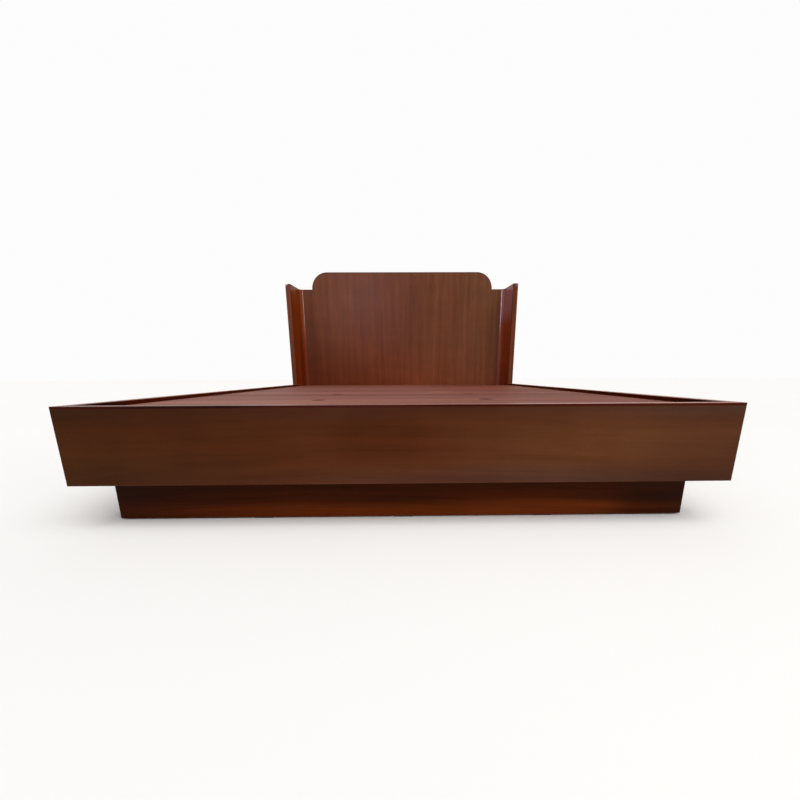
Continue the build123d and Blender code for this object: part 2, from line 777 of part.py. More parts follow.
with BuildPart() as bearer_brackets:
    with Locations(*[(x_rail_inner, y, z_bracket) for y in y_bearer_faces]):
        add(angle_bracket(bracket_height))
    add(rail_bracket_drillings, mode=Mode.SUBTRACT)
    add(bearer_bracket_drillings, mode=Mode.SUBTRACT)
    mirror(about=Plane.YZ)
bearer_brackets.part.label = "bearer_brackets"
export_step(bearer_brackets.part, "parts/bearer_brackets.step")

with BuildPart() as bearer_bracket_screws:
    with Locations(*seats(rail_bracket_places, (1, 0, 0)), *seats(bearer_bracket_places, (0, 1, 0))):
        add(wood_screw(short_screw))
bearer_bracket_screws.part.label = "bearer_bracket_screws"
export_step(bearer_bracket_screws.part, "parts/bearer_bracket_screws.step")

with BuildPart() as plinth_brackets:
    with Locations(
        *[
            Plane(
                origin=(x_plinth_inner, y + foot_bracket_width / 2, z_frame),
                x_dir=(1, 0, 0),
                z_dir=(0, -1, 0),
            ).location
            for y in bearer_places
        ]
    ):
        add(angle_bracket(foot_bracket_width))
    add(plinth_side_drillings, mode=Mode.SUBTRACT)
    add(plinth_bearer_drillings, mode=Mode.SUBTRACT)
    mirror(about=Plane.YZ)
plinth_brackets.part.label = "plinth_brackets"
export_step(plinth_brackets.part, "parts/plinth_brackets.step")

with BuildPart() as plinth_bracket_screws:
    with Locations(*seats(plinth_side_places, (1, 0, 0)), *seats(plinth_bearer_places, (0, 0, 1))):
        add(wood_screw(short_screw))
plinth_bracket_screws.part.label = "plinth_bracket_screws"
export_step(plinth_bracket_screws.part, "parts/plinth_bracket_screws.step")

with BuildPart() as ledger_screws:
    with Locations(*seats(side_ledger_places, (1, 0, 0)), *seats(foot_ledger_places, (0, -1, 0))):
        add(wood_screw(long_screw))
ledger_screws.part.label = "ledger_screws"
export_step(ledger_screws.part, "parts/ledger_screws.step")

with BuildPart() as headboard_bolts:
    add(drillings(bolt_seats, bolt_radius, bolt_length))
    with Locations(*bolt_seats):
        Cylinder(bolt_head_radius, bolt_head_height, align=(Align.CENTER, Align.CENTER, Align.MAX))
    head_rims = headboard_bolts.edges().filter_by(GeomType.CIRCLE).group_by(Axis.Y)[0]
    chamfer(head_rims, bolt_head_bevel)
    with BuildSketch(Plane.XZ.offset(-(y_head_rail - bolt_head_height))):
        with Locations(*[(side * x, z_lap) for side in (1, -1) for x in x_bolts]):
            RegularPolygon(bolt_socket_radius, 6)
    extrude(amount=-bolt_socket_depth, mode=Mode.SUBTRACT)
headboard_bolts.part.label = "headboard_bolts"
export_step(headboard_bolts.part, "parts/headboard_bolts.step")

with BuildPart() as headboard_inserts:
    add(drillings(insert_seats, insert_radius, insert_length))
    add(drillings(insert_seats, bolt_radius + thread_clearance, insert_length), mode=Mode.SUBTRACT)
headboard_inserts.part.label = "headboard_inserts"
export_step(headboard_inserts.part, "parts/headboard_inserts.step")

behind_slot = hook_plate_thickness + hook_play
hook_side_view = closed_outline(
    (0, hook_neck / 2),
    (hook_reach, hook_neck / 2),
    (hook_reach, -hook_neck / 2 - hook_lip),
    (behind_slot, -hook_neck / 2 - hook_lip),
    (behind_slot, -hook_neck / 2),
    (0, -hook_neck / 2),
)

with BuildPart() as hook_plate_right:
    with Locations((x_hook, y_wing_front, z_hook_plate)):
        Box(
            hook_plate_width,
            hook_plate_thickness,
            hook_plate_height,
            align=(Align.CENTER, Align.MAX, Align.CENTER),
        )
    with BuildSketch(Plane.YZ.offset(x_hook)):
        with Locations(*[(y_wing_front, z) for z in hook_heights]):
            add(hook_side_view)
    extrude(amount=hook_thickness / 2, both=True)
hook_plate_right.part.label = "hook_plate_right"
export_step(hook_plate_right.part, "parts/hook_plate_right.step")

with BuildPart() as hook_plate_left:
    mirror(hook_plate_right.part, about=Plane.YZ)
hook_plate_left.part.label = "hook_plate_left"
export_step(hook_plate_left.part, "parts/hook_plate_left.step")

with BuildPart() as slot_plate_right:
    with Locations((x_hook, y_wing_front, z_hook_plate)):
        Box(
            hook_plate_width,
            hook_plate_thickness,
            hook_plate_height,
            align=(Align.CENTER, Align.MIN, Align.CENTER),
        )
    with Locations(*[(x_hook, y_wing_front, z - hook_neck / 2) for z in hook_heights]):
        Box(
            hook_thickness + 2 * hook_play,
            hook_plate_thickness,
            hook_neck + hook_lift,
            align=(Align.CENTER, Align.MIN, Align.MIN),
            mode=Mode.SUBTRACT,
        )
slot_plate_right.part.label = "slot_plate_right"
export_step(slot_plate_right.part, "parts/slot_plate_right.step")

with BuildPart() as slot_plate_left:
    mirror(slot_plate_right.part, about=Plane.YZ)
slot_plate_left.part.label = "slot_plate_left"
export_step(slot_plate_left.part, "parts/slot_plate_left.step")
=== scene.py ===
"""Platform bed with a winged headboard: its finishes, small pieces, floor, lights and camera."""

import logging
import math
from dataclasses import dataclass
from enum import Enum

import bmesh
import bpy
from mathutils import Matrix, Vector


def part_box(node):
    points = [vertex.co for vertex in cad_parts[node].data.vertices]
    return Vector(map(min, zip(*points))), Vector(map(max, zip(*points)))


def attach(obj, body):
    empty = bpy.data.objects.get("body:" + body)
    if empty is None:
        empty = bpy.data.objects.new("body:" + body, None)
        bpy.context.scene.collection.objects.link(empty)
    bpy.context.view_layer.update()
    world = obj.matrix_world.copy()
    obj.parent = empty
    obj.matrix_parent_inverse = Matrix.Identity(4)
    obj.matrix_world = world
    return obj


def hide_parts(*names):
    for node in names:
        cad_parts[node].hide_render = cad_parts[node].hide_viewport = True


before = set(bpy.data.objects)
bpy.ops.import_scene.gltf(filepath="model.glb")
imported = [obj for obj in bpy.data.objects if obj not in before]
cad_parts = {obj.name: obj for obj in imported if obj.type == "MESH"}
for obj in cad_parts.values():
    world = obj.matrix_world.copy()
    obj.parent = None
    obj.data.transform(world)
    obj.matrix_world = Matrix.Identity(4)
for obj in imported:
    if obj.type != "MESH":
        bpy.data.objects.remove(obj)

log = logging.getLogger("bed")
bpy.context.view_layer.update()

Colour = tuple[float, float, float]
Triple = tuple[float, float, float]
Socket = bpy.types.NodeSocket
Value = Socket | float | Triple

TO_RIGHT: Triple = (1.0, 0.0, 0.0)
TO_HEAD: Triple = (0.0, 1.0, 0.0)
UP: Triple = (0.0, 0.0, 1.0)
TO_UPPER_RIGHT: Triple = (0.6, 0.0, 0.8)

# A gain that leaves a tone as it is.
AS_IS: Colour = (1.0, 1.0, 1.0)

# The span that most of a noise keeps to.
NOISE_LOW = 0.3
NOISE_HIGH = 0.7

# Scale and distance of the drift in lippings and plain wood.
TIMBER_DRIFT = (2.0, 0.03)

# Depth of the open grain, in metres.
GRAIN_RELIEF = 0.0004


def linear(red: int, green: int, blue: int) -> Colour:
    """A colour written as on a paint card, as the shader wants it.

    Args:
        red: the first channel, from 0 to 255.
        green: the second channel.
        blue: the third channel.

    Returns:
        The three channels as light, from 0 to 1.
    """
    toe, slope, offset, power = 0.04045, 12.92, 0.055, 2.4

    def channel(value: int) -> float:
        """One channel from its display value to light."""
        share = value / 255
        return share / slope if share <= toe else ((share + offset) / (1 + offset)) ** power

    return channel(red), channel(green), channel(blue)


def paint(**cards: tuple[int, int, int]) -> dict[str, Colour]:
    """Named tones from the values on their paint cards."""
    return {name: linear(*card) for name, card in cards.items()}


def gained(tones: dict[str, Colour], gain: Colour) -> dict[str, Colour]:
    """The same tones with each channel multiplied by its gain."""
    return {name: tuple(c * g for c, g in zip(tone, gain)) for name, tone in tones.items()}


class Grain(Enum):
    """Which way the wood's fibres run."""

    ACROSS_BED = 0
    ALONG_BED = 1
    UPRIGHT = 2

    def stretch(self, along: float, across: float) -> Triple:
        """Texture scales with one value along the fibres and another across them.

        Args:
            along: features per metre along the fibres.
            across: features per metre across the fibres.

        Returns:
            The scale for X, Y and Z.
        """
        scales = [across, across, across]
        scales[self.value] = along
        return scales[0], scales[1], scales[2]


class Bench:
    """A node tree, with short ways to add nodes and feed them."""

    def __init__(self, tree: bpy.types.NodeTree) -> None:
        """Start from an empty tree."""
        self.tree = tree
        self.tree.nodes.clear()

    def feed(self, slot: Socket, value: Value) -> None:
        """Give an input what it needs.

        Args:
            slot: the input.
            value: a socket to link, a number, a vector, or a colour without its alpha.
        """
        if isinstance(value, Socket):
            self.tree.links.new(value, slot)
        elif slot.type == "RGBA":
            slot.default_value = (*value, 1.0)
        else:
            slot.default_value = value

    def node(
        self, kind: str, feeds: dict[str | int, Value] | None = None, **settings: str
    ) -> bpy.types.Node:
        """Add a node.

        Args:
            kind: Blender's name of the node.
            feeds: what each input gets, by the input's name or number.
            settings: the node's own properties.

        Returns:
            The node.
        """
        added = self.tree.nodes.new(kind)
        for key, value in settings.items():
            setattr(added, key, value)
        for key, value in (feeds or {}).items():
            self.feed(added.inputs[key], value)
        return added

    def math(self, operation: str, first: Value, second: Value) -> Socket:
        """The result of an operation on two numbers."""
        return self.node("ShaderNodeMath", {0: first, 1: second}, operation=operation).outputs[0]


class ShaderBench(Bench):
    """A material's node tree, built round one principled shader."""

    def __init__(self, name: str) -> None:
        """Start a material that has the principled shader alone.

        Args:
            name: the material's name.
        """
        self.material = bpy.data.materials.new(name)
        self.material.use_nodes = True
        super().__init__(self.material.node_tree)
        self.surface = self.node("ShaderNodeBsdfPrincipled")
        self.node("ShaderNodeOutputMaterial", {"Surface": self.surface.outputs["BSDF"]})
        self.place = self.node("ShaderNodeTexCoord").outputs["Object"]

    def set(self, **values: Value) -> None:
        """Feed the principled shader's inputs; underscores stand for spaces."""
        for key, value in values.items():
            self.feed(self.surface.inputs[key.replace("_", " ")], value)

    def vector(self, operation: str, first: Value, second: Value | None = None) -> Socket:
        """The result of an operation on vectors.

        Args:
            operation: Blender's name of the operation.
            first: the first vector.
            second: the second vector, or a number to scale by; a length needs neither.

        Returns:
            A vector, or the number that a length or a dot product gives.
        """
        feeds = {0: first}
        if second is not None:
            feeds["Scale" if operation == "SCALE" else 1] = second
        gives = "Value" if operation in ("LENGTH", "DOT_PRODUCT") else "Vector"
        return self.node("ShaderNodeVectorMath", feeds, operation=operation).outputs[gives]

    def noise(
        self,
        scale: Triple | float,
        detail: float = 2.0,
        offset: Triple = (0.0, 0.0, 0.0),
        place: Socket | None = None,
        roughness: float = 0.5,
    ) -> Socket:
        """Noise stretched to a scale.

        Args:
            scale: features per metre along X, Y and Z, or one number for all three.
            detail: octaves of finer noise.
            offset: where in the noise this layer starts.
            place: coordinates, the object's own unless given.
            roughness: strength of the finer octaves.

        Returns:
            The noise from 0 to 1.
        """
        if isinstance(scale, float):
            scale = (scale, scale, scale)
        feeds = {"Scale": scale, "Location": offset, "Vector": place or self.place}
        mapped = self.node("ShaderNodeMapping", feeds).outputs[0]
        feeds = {"Scale": 1.0, "Detail": detail, "Roughness": roughness, "Vector": mapped}
        return self.node("ShaderNodeTexNoise", feeds).outputs["Fac"]

    def wander(self, scale: float, distance: float) -> Socket:
        """Push the object's coordinates about, so that straight streaks drift.

        Args:
            scale: how often they turn, per metre.
            distance: how far they go, in metres.

        Returns:
            The moved coordinates.
        """
        slow = {"Scale": scale, "Detail": 1.0, "Vector": self.place}
        texture = self.node("ShaderNodeTexNoise", slow)
        centred = self.vector("SUBTRACT", texture.outputs["Color"], (0.5, 0.5, 0.5))
        return self.vector("ADD", self.place, self.vector("SCALE", centred, distance))

    def ramp(self, factor: Socket, *stops: tuple[float, Colour]) -> Socket:
        """Colours along a factor.

        Args:
            factor: the factor, from 0 to 1.
            stops: a place and a colour each.

        Returns:
            The colour.
        """
        added = self.node("ShaderNodeValToRGB", {"Fac": factor})
        bands = added.color_ramp
        bands.interpolation = "EASE"
        while len(bands.elements) < len(stops):
            bands.elements.new(0.5)
        for element, (place, colour) in zip(bands.elements, stops):
            element.position = place
            element.color = (*colour, 1.0)
        return added.outputs["Color"]

    def mix(self, factor: Value, first: Value, second: Value, blend: str = "MIX") -> Socket:
        """Blend two colours.

        Args:
            factor: the second colour's share.
            first: the colour below.
            second: the colour on top.
            blend: Blender's name of the way they blend.

        Returns:
            The blended colour.
        """
        feeds = {0: factor, 6: first, 7: second}
        return self.node("ShaderNodeMix", feeds, data_type="RGBA", blend_type=blend).outputs[2]

    def spread(
        self,
        value: Socket,
        low: float,
        high: float,
        new_low: float = 0.0,
        new_high: float = 1.0,
        curve: str = "LINEAR",
    ) -> Socket:
        """Map a value from one span to another, held at its ends.

        Args:
            value: the value.
            low: where its span starts.
            high: where its span ends.
            new_low: what the start becomes.
            new_high: what the end becomes.
            curve: Blender's name of the way from one end to the other.

        Returns:
            The mapped value.
        """
        slots = ("Value", "From Min", "From Max", "To Min", "To Max")
        feeds = dict(zip(slots, (value, low, high, new_low, new_high)))
        return self.node("ShaderNodeMapRange", feeds, interpolation_type=curve).outputs[0]

    def vary(self, noise: Socket, low: float, high: float) -> Socket:
        """Map the span that a noise mostly keeps to."""
        return self.spread(noise, NOISE_LOW, NOISE_HIGH, low, high)

    def scale(self, tone: Socket, noise: Socket, low: float, high: float) -> Socket:
        """Darken and lighten a tone by a noise, from one gain to another."""
        return self.vector("SCALE", tone, self.vary(noise, low, high))

    def lay(self, value: Socket, marks: "tuple[Shade | Patch | Polish, ...]") -> Socket:
        """Lay marks on a tone or a roughness, one after another.

        Args:
            value: the tone or the roughness so far.
            marks: shades and patches for a tone, and polishes for a roughness.

        Returns:
            The tone or the roughness with them.
        """
        for mark in marks:
            value = mark.lay(self, value)
        return value

    def bump(self, height: Socket, strength: float, distance: float) -> None:
        """Raise the surface by a height, in metres at full strength."""
        feeds = {"Strength": strength, "Distance": distance, "Height": height}
        self.set(Normal=self.node("ShaderNodeBump", feeds).outputs[0])


@dataclass(frozen=True)
class Shade:
    """A slow change of tone along one direction, whose edge may waver."""

    towards: Triple
    start: float
    end: float
    start_tone: Colour
    end_tone: Colour
    waver: float = 0.0
    wavers_per_metre: float = 1.7

    def lay(self, bench: ShaderBench, tone: Socket) -> Socket:
        """Multiply a tone by this shade.

        Args:
            bench: the material's bench.
            tone: the colour so far.

        Returns:
            The shaded colour.
        """
        place = bench.vector("DOT_PRODUCT", bench.place, self.towards)
        if self.waver:
            drift = bench.noise(self.wavers_per_metre, 2.0, (4.0 + self.start, 0.0, 0.0))
            shift = bench.spread(drift, 0.25, 0.75, -self.waver, self.waver)
            place = bench.math("ADD", place, shift)
        share = bench.spread(place, self.start, self.end)
        return bench.mix(1.0, tone, bench.mix(share, self.start_tone, self.end_tone), "MULTIPLY")


class Cover(Enum):
    """How a spot of colour lies on the wood."""

    # Multiplies the tone, for stains and for painted light and shade alike.
    STAIN = "MULTIPLY"
    PAINT = "MIX"


@dataclass(frozen=True, kw_only=True)
class Spot:
    """A soft-edged place on the bed, as an ellipsoid."""

    centre: Triple
    reach: Triple
    core: float = 0.25

    def share(self, bench: ShaderBench) -> Socket:
        """How much of the spot lies here.

        Args:
            bench: the material's bench.

        Returns:
            1 in its core and 0 past its reach.
        """
        offset = bench.vector("SUBTRACT", bench.place, self.centre)
        distance = bench.vector("LENGTH", bench.vector("DIVIDE", offset, self.reach))
        return bench.spread(distance, self.core, 1.0, 1.0, 0.0, "SMOOTHSTEP")


@dataclass(frozen=True, kw_only=True)
class Patch(Spot):
    """A spot of another tone, such as a scratch, or painted light and shade: a sheen, a reflection,
    or the shade in a corner or a cove.
    """

    tone: Colour
    cover: Cover = Cover.STAIN

    def lay(self, bench: ShaderBench, tone: Socket) -> Socket:
        """Lay this patch on a tone."""
        return bench.mix(self.share(bench), tone, self.tone, self.cover.value)


@dataclass(frozen=True, kw_only=True)
class Polish(Spot):
    """A spot where the lacquer is smoother or duller."""

    roughness: float

    def lay(self, bench: ShaderBench, roughness: Socket) -> Socket:
        """Change the roughness within this spot."""
        feeds = {0: self.share(bench), 2: roughness, 3: self.roughness}
        return bench.node("ShaderNodeMix", feeds, data_type="FLOAT").outputs[0]


@dataclass(frozen=True)
class Veneer:
    """Lacquered veneer with streaks, ribbon figure and pores.

    A run counts features per metre along the fibres; the other counts go across them.
    """

    name: str
    grain: Grain
    deep: Colour
    dark: Colour
    ground: Colour
    light: Colour
    tone_places: tuple[float, ...] = (0.30, 0.43, 0.55, 0.72)
    streaks_per_metre: float = 9.0
    streak_run: float = 0.6
    drift: float = 0.06
    drifts_per_metre: float = 1.3
    fine_per_metre: float = 95.0
    fine_run: float = 1.6
    fine_depth: float = 0.14
    ribbons_per_metre: float = 5.0
    ribbon_run: float = 11.0
    ribbon_depth: float = 0.06
    pores_per_metre: float = 640.0
    pore_run: float = 22.0
    pore_stain: float = 0.3
    pore_dulling: float = 0.08
    seed: float = 0.0
    gloss: float = 0.28
    sheen_level: float = 0.09
    warmth: Colour = (1.0, 0.60, 0.38)
    shades: tuple[Shade | Patch, ...] = ()
    polishes: tuple[Polish, ...] = ()

    def material(self) -> bpy.types.Material:
        """Build the material.

        Returns:
            The material.
        """
        bench = ShaderBench(self.name)
        start = (self.seed, self.seed * 1.7, self.seed * 0.6)
        place = bench.wander(self.drifts_per_metre, self.drift)
        streaks = self.grain.stretch(self.streak_run, self.streaks_per_metre)
        stops = zip(self.tone_places, (self.deep, self.dark, self.ground, self.light))
        tone = bench.ramp(bench.noise(streaks, 3.0, start, place), *stops)
        lines = self.grain.stretch(self.fine_run, self.fine_per_metre)
        fine = bench.noise(lines, 4.0, start, place, 0.6)
        tone = bench.scale(tone, fine, 1.0 - self.fine_depth, 1.0 + self.fine_depth)
        ribbons = bench.noise(
            self.grain.stretch(self.ribbon_run, self.ribbons_per_metre), 2.0, start
        )
        tone = bench.scale(tone, ribbons, 1.0 - self.ribbon_depth, 1.0 + self.ribbon_depth)
        pits = self.grain.stretch(self.pore_run, self.pores_per_metre)
        pores = bench.spread(bench.noise(pits, 2.0, start, place), 0.60, 0.70)
        tone = bench.mix(bench.math("MULTIPLY", pores, self.pore_stain), tone, self.deep)
        roughness = bench.lay(bench.vary(fine, self.gloss - 0.03, self.gloss + 0.04), self.polishes)
        dulling = bench.math("MULTIPLY", pores, self.pore_dulling)
        relief = bench.math("SUBTRACT", bench.math("MULTIPLY", fine, 0.35), pores)
        bench.bump(relief, 0.10, GRAIN_RELIEF)
        bench.set(
            Base_Color=bench.lay(tone, self.shades),
            Roughness=bench.math("ADD", roughness, dulling),
            Specular_IOR_Level=self.sheen_level,
            Specular_Tint=self.warmth,
        )
        return bench.material


@dataclass(frozen=True)
class EdgeStrip:
    """Lipping: its top is painted paler than its sides, partly as rubbed wear and partly as painted
    light from above; its sides take the darker tone of the face below.
    """

    name: str
    grain: Grain
    side_dark: Colour
    side_light: Colour
    top_dark: Colour
    top_light: Colour
    streaks_per_metre: float = 150.0
    streak_run: float = 1.4
    rub_and_sheen_per_metre: float = 5.0
    rub_and_sheen: float = 0.18
    roughness: float = 0.36
    seed: float = 0.0
    sheen_level: float = 0.10
    shades: tuple[Shade | Patch, ...] = ()

    def material(self) -> bpy.types.Material:
        """Build the material.

        Returns:
            The material.
        """
        bench = ShaderBench(self.name)
        start = (self.seed, self.seed * 1.3, self.seed * 0.4)
        place = bench.wander(*TIMBER_DRIFT)
        lines = self.grain.stretch(self.streak_run, self.streaks_per_metre)
        streaks = bench.noise(lines, 4.0, start, place, 0.55)
        top = bench.ramp(streaks, (0.35, self.top_dark), (0.65, self.top_light))
        side = bench.ramp(streaks, (0.35, self.side_dark), (0.65, self.side_light))
        # Upward faces take the paler top tones, which are partly wear and partly painted light from
        # above; a patchy noise carries that paleness over the rounded arris.
        normal = bench.node("ShaderNodeNewGeometry").outputs["Normal"]
        upward = bench.node("ShaderNodeSeparateXYZ", {0: normal}).outputs["Z"]
        patchy = bench.noise(self.rub_and_sheen_per_metre, 3.0, start)
        rub_and_sheen = bench.spread(patchy, 0.35, 0.7, 0.0, self.rub_and_sheen)
        on_top = bench.spread(bench.math("ADD", upward, rub_and_sheen), 0.55, 0.95)
        bench.bump(streaks, 0.10, GRAIN_RELIEF)
        bench.set(
            Base_Color=bench.lay(bench.mix(on_top, side, top), self.shades),
            Roughness=bench.vary(streaks, self.roughness - 0.03, self.roughness + 0.06),
            Specular_IOR_Level=self.sheen_level,
            Specular_Tint=(1.0, 0.8, 0.7),
        )
        return bench.material


@dataclass(frozen=True)
class SolidWood:
    """Plain solid wood, planed, with growth streaks and a little dirt in the grain."""

    name: str
    grain: Grain
    dark: Colour
    light: Colour
    roughness: float = 0.6
    rings_per_metre: float = 60.0
    ring_run: float = 0.8
    fibres_per_metre: float = 520.0
    fibre_run: float = 14.0
    sheen_level: float = 0.3
    shades: tuple[Shade | Patch, ...] = ()

    def material(self) -> bpy.types.Material:
        """Build the material.

        Returns:
            The material.
        """
        bench = ShaderBench(self.name)
        growth = self.grain.stretch(self.ring_run, self.rings_per_metre)
        rings = bench.noise(growth, 3.0, place=bench.wander(*TIMBER_DRIFT))
        tone = bench.ramp(rings, (0.35, self.dark), (0.65, self.light))
        fibres = bench.noise(self.grain.stretch(self.fibre_run, self.fibres_per_metre))
        bench.bump(fibres, 0.12, GRAIN_RELIEF)
        bench.set(
            Base_Color=bench.lay(bench.scale(tone, fibres, 0.88, 1.07), self.shades),
            Roughness=bench.vary(fibres, self.roughness - 0.05, self.roughness + 0.08),
            Specular_IOR_Level=self.sheen_level,
        )
        return bench.material


@dataclass(frozen=True)
class DeckBoard:
    """Stained plywood: matt faces with cross-wise streaks, and plies along its edges."""

    name: str
    dark: Colour
    ground: Colour
    light: Colour
    ply_dark: Colour
    ply_light: Colour
    face_height: float
    ply: float = 0.0026
    face_ply: float = 0.0008
    streaks_per_metre: float = 6.5
    streak_run: float = 0.55
    fine_per_metre: float = 120.0
    fine_run: float = 2.4
    seed: float = 0.0
    shades: tuple[Shade | Patch, ...] = ()

    def material(self) -> bpy.types.Material:
        """Build the material.

        Returns:
            The material.
        """
        bench = ShaderBench(self.name)
        start = (self.seed, self.seed * 2.1, 0.0)
        place = bench.wander(1.1, 0.09)
        streaks = Grain.ACROSS_BED.stretch(self.streak_run, self.streaks_per_metre)
        bands = bench.noise(streaks, 3.0, start, place)
        face = bench.ramp(bands, (0.32, self.dark), (0.5, self.ground), (0.68, self.light))
        lines = Grain.ACROSS_BED.stretch(self.fine_run, self.fine_per_metre)
        fine = bench.noise(lines, 4.0, start, place, 0.6)
        face = bench.lay(bench.scale(face, fine, 0.88, 1.10), self.shades)
        height = bench.node("ShaderNodeSeparateXYZ", {0: bench.place}).outputs["Z"]
        layer = bench.spread(bench.math("PINGPONG", height, self.ply), 0.0, self.ply)
        edge = bench.ramp(layer, (0.4, self.ply_dark), (0.6, self.ply_light))
        face_end = self.face_height - self.face_ply
        on_face = bench.spread(height, face_end - self.face_ply, face_end)
        bench.bump(fine, 0.15, 0.0005)
        bench.set(
            Base_Color=bench.mix(on_face, edge, face),
            Roughness=bench.vary(fine, 0.58, 0.72),
            Specular_IOR_Level=0.08,
        )
        return bench.material


@dataclass(frozen=True)
class PlatedSteel:
    """Zinc-plated steel with a cloudy passivated skin."""

    name: str
    dull: Colour
    bright: Colour
    clouds_per_metre: float = 60.0

    def material(self) -> bpy.types.Material:
        """Build the material.

        Returns:
            The material.
        """
        bench = ShaderBench(self.name)
        cloud = bench.noise(self.clouds_per_metre, 4.0)
        bench.set(
            Base_Color=bench.ramp(cloud, (NOISE_LOW, self.dull), (NOISE_HIGH, self.bright)),
            Roughness=bench.vary(cloud, 0.28, 0.44),
            Metallic=1.0,
        )
        return bench.material


@dataclass(frozen=True)
class MouldedPlastic:
    """Matt plastic with a fine moulded grain."""

    name: str
    dark: Colour
    light: Colour
    grains_per_metre: float = 900.0

    def material(self) -> bpy.types.Material:
        """Build the material.

        Returns:
            The material.
        """
        bench = ShaderBench(self.name)
        grain = bench.noise(self.grains_per_metre)
        bench.bump(grain, 0.2, 0.0002)
        bench.set(
            Base_Color=bench.ramp(grain, (NOISE_LOW, self.dark), (NOISE_HIGH, self.light)),
            Roughness=bench.vary(grain, 0.5, 0.62),
        )
        return bench.material


Finish = Veneer | EdgeStrip | SolidWood | DeckBoard | PlatedSteel | MouldedPlastic

RAIL_TONES = paint(
    deep=(70, 33, 15), dark=(78, 37, 17), ground=(86, 42, 20), light=(95, 48, 24)
)
PLINTH_TONES = paint(
    deep=(38, 14, 4), dark=(52, 20, 6), ground=(68, 27, 8), light=(86, 36, 12)
)
PANEL_TONES = paint(
    deep=(98, 50, 27), dark=(104, 54, 30), ground=(109, 58, 33), light=(116, 64, 38)
)
WING_TONES = paint(
    deep=(112, 42, 8), dark=(124, 49, 12), ground=(134, 56, 17), light=(144, 64, 24)
)


def dress(finish: Finish, *nodes: str) -> bpy.types.Material:
    """Give CAD nodes one finish.

    Args:
        finish: what the nodes are made of.
        nodes: the nodes' names.

    Returns:
        The finish's material.
    """
    material = finish.material()
    for node in nodes:
        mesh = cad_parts[node].data
        mesh.materials.clear()
        mesh.materials.append(material)
    log.info("%s on %s", finish.name, ", ".join(nodes))
    return material


@dataclass(frozen=True)
class Rails:
    """Foot rail and side rails, with the lipping on their top edges."""

    front_y: float = -1.05
    side_rail_x: float = 0.768
    lipping_sheen: float = 0.05

    def dress(self) -> None:
        """Veneer runs along each rail, and so does the lipping."""
        self.dress_foot()
        self.dress_sides()

    def dress_foot(self) -> None:
        """Finish the foot rail."""
        y = self.front_y
        # The darker left end and the brighter, bluer patches towards the right are partly painted
        # shade and painted reflection, partly the veneer's own tone.
        rail_shades = (
            Shade(TO_RIGHT, -0.75, -0.1, (0.68, 0.62, 0.26), AS_IS, waver=0.06),
            Shade(TO_RIGHT, 0.45, 0.8, AS_IS, (0.78, 0.94, 1.08)),
            Shade(UP, 0.120, 0.160, (0.76, 0.86, 1.25), AS_IS, waver=0.012),
            Shade(UP, 0.250, 0.282, AS_IS, (0.70, 0.78, 1.08), waver=0.012),
            Patch(centre=(0.42, y, 0.20), reach=(0.42, 1.0, 0.14), tone=(1.12, 1.42, 1.66)),
            Patch(centre=(0.17, y, 0.116), reach=(0.60, 1.0, 0.06), tone=(1.25, 1.5, 1.9)),
            Patch(centre=(-0.05, y, 0.225), reach=(0.19, 1.0, 0.08), tone=(0.78, 0.70, 0.55)),
            Patch(centre=(0.26, y, 0.165), reach=(0.36, 1.0, 0.04), tone=(1.12, 1.12, 1.10)),
            Patch(centre=(-0.62, y, 0.155), reach=(0.42, 1.0, 0.055), tone=(0.74, 0.84, 1.04)),
            Patch(centre=(0.72, y, 0.288), reach=(0.34, 1.0, 0.034), tone=(1.14, 1.32, 1.55)),
        )
        veneer = Veneer(
            "foot_rail_veneer",
            Grain.ACROSS_BED,
            fine_per_metre=70.0,
            fine_depth=0.07,
            drift=0.09,
            seed=3.0,
            shades=rail_shades,
            **RAIL_TONES,
        )
        dress(veneer, "foot_rail")
        # The lipping's top grows paler towards the right end, which is partly painted sheen and
        # partly wear, and darker near the left end where that pale line fades.
        wear_and_sheen = (
            Shade(TO_RIGHT, -0.6, 0.6, (0.9, 0.9, 0.9), (1.35, 1.4, 1.42)),
            Patch(centre=(-0.50, y, 0.298), reach=(0.24, 1.0, 1.0), tone=(0.5, 0.42, 0.36)),
        )
        lipping = EdgeStrip(
            "foot_lipping_wood",
            Grain.ACROSS_BED,
            sheen_level=self.lipping_sheen,
            shades=wear_and_sheen,
            **paint(side_dark=(50, 9, 1), side_light=(60, 15, 4)),
            **paint(top_dark=(112, 72, 64), top_light=(142, 98, 88)),
        )
        dress(lipping, "foot_rail_lipping")

    def dress_sides(self) -> None:
        """Finish the side rails, with painted shade in the recess under the lipping and near the
        foot corners.
        """
        # A darker band just under the lipping: painted shade in the recess above the deck, and a
        # dark line along the outer faces.
        shade_and_dark_line_under_lipping = Shade(UP, 0.268, 0.288, AS_IS, (0.86, 0.32, 0.12))
        # Darker spots near the foot corners are painted shade, on the veneer and on the lipping.
        size = dict(reach=(0.014, 0.20, 0.03), core=0.5)
        painted_corner_shade = tuple(
            Patch(centre=(x, -1.02, 0.29), tone=(0.30, 0.30, 0.60), **size)
            for x in (-self.side_rail_x, self.side_rail_x)
        )
        shades = (shade_and_dark_line_under_lipping, *painted_corner_shade)
        veneer = Veneer("side_rail_veneer", Grain.ALONG_BED, seed=7.0, shades=shades, **RAIL_TONES)
        dress(veneer, "side_rail_left", "side_rail_right")
        lipping = EdgeStrip(
            "side_lipping_wood",
            Grain.ALONG_BED,
            seed=5.0,
            sheen_level=self.lipping_sheen,
            shades=painted_corner_shade,
            **paint(side_dark=(62, 11, 1), side_light=(80, 20, 4)),
            **paint(top_dark=(118, 62, 36), top_light=(150, 90, 62)),
        )
        dress(lipping, "side_rail_lipping_left", "side_rail_lipping_right")


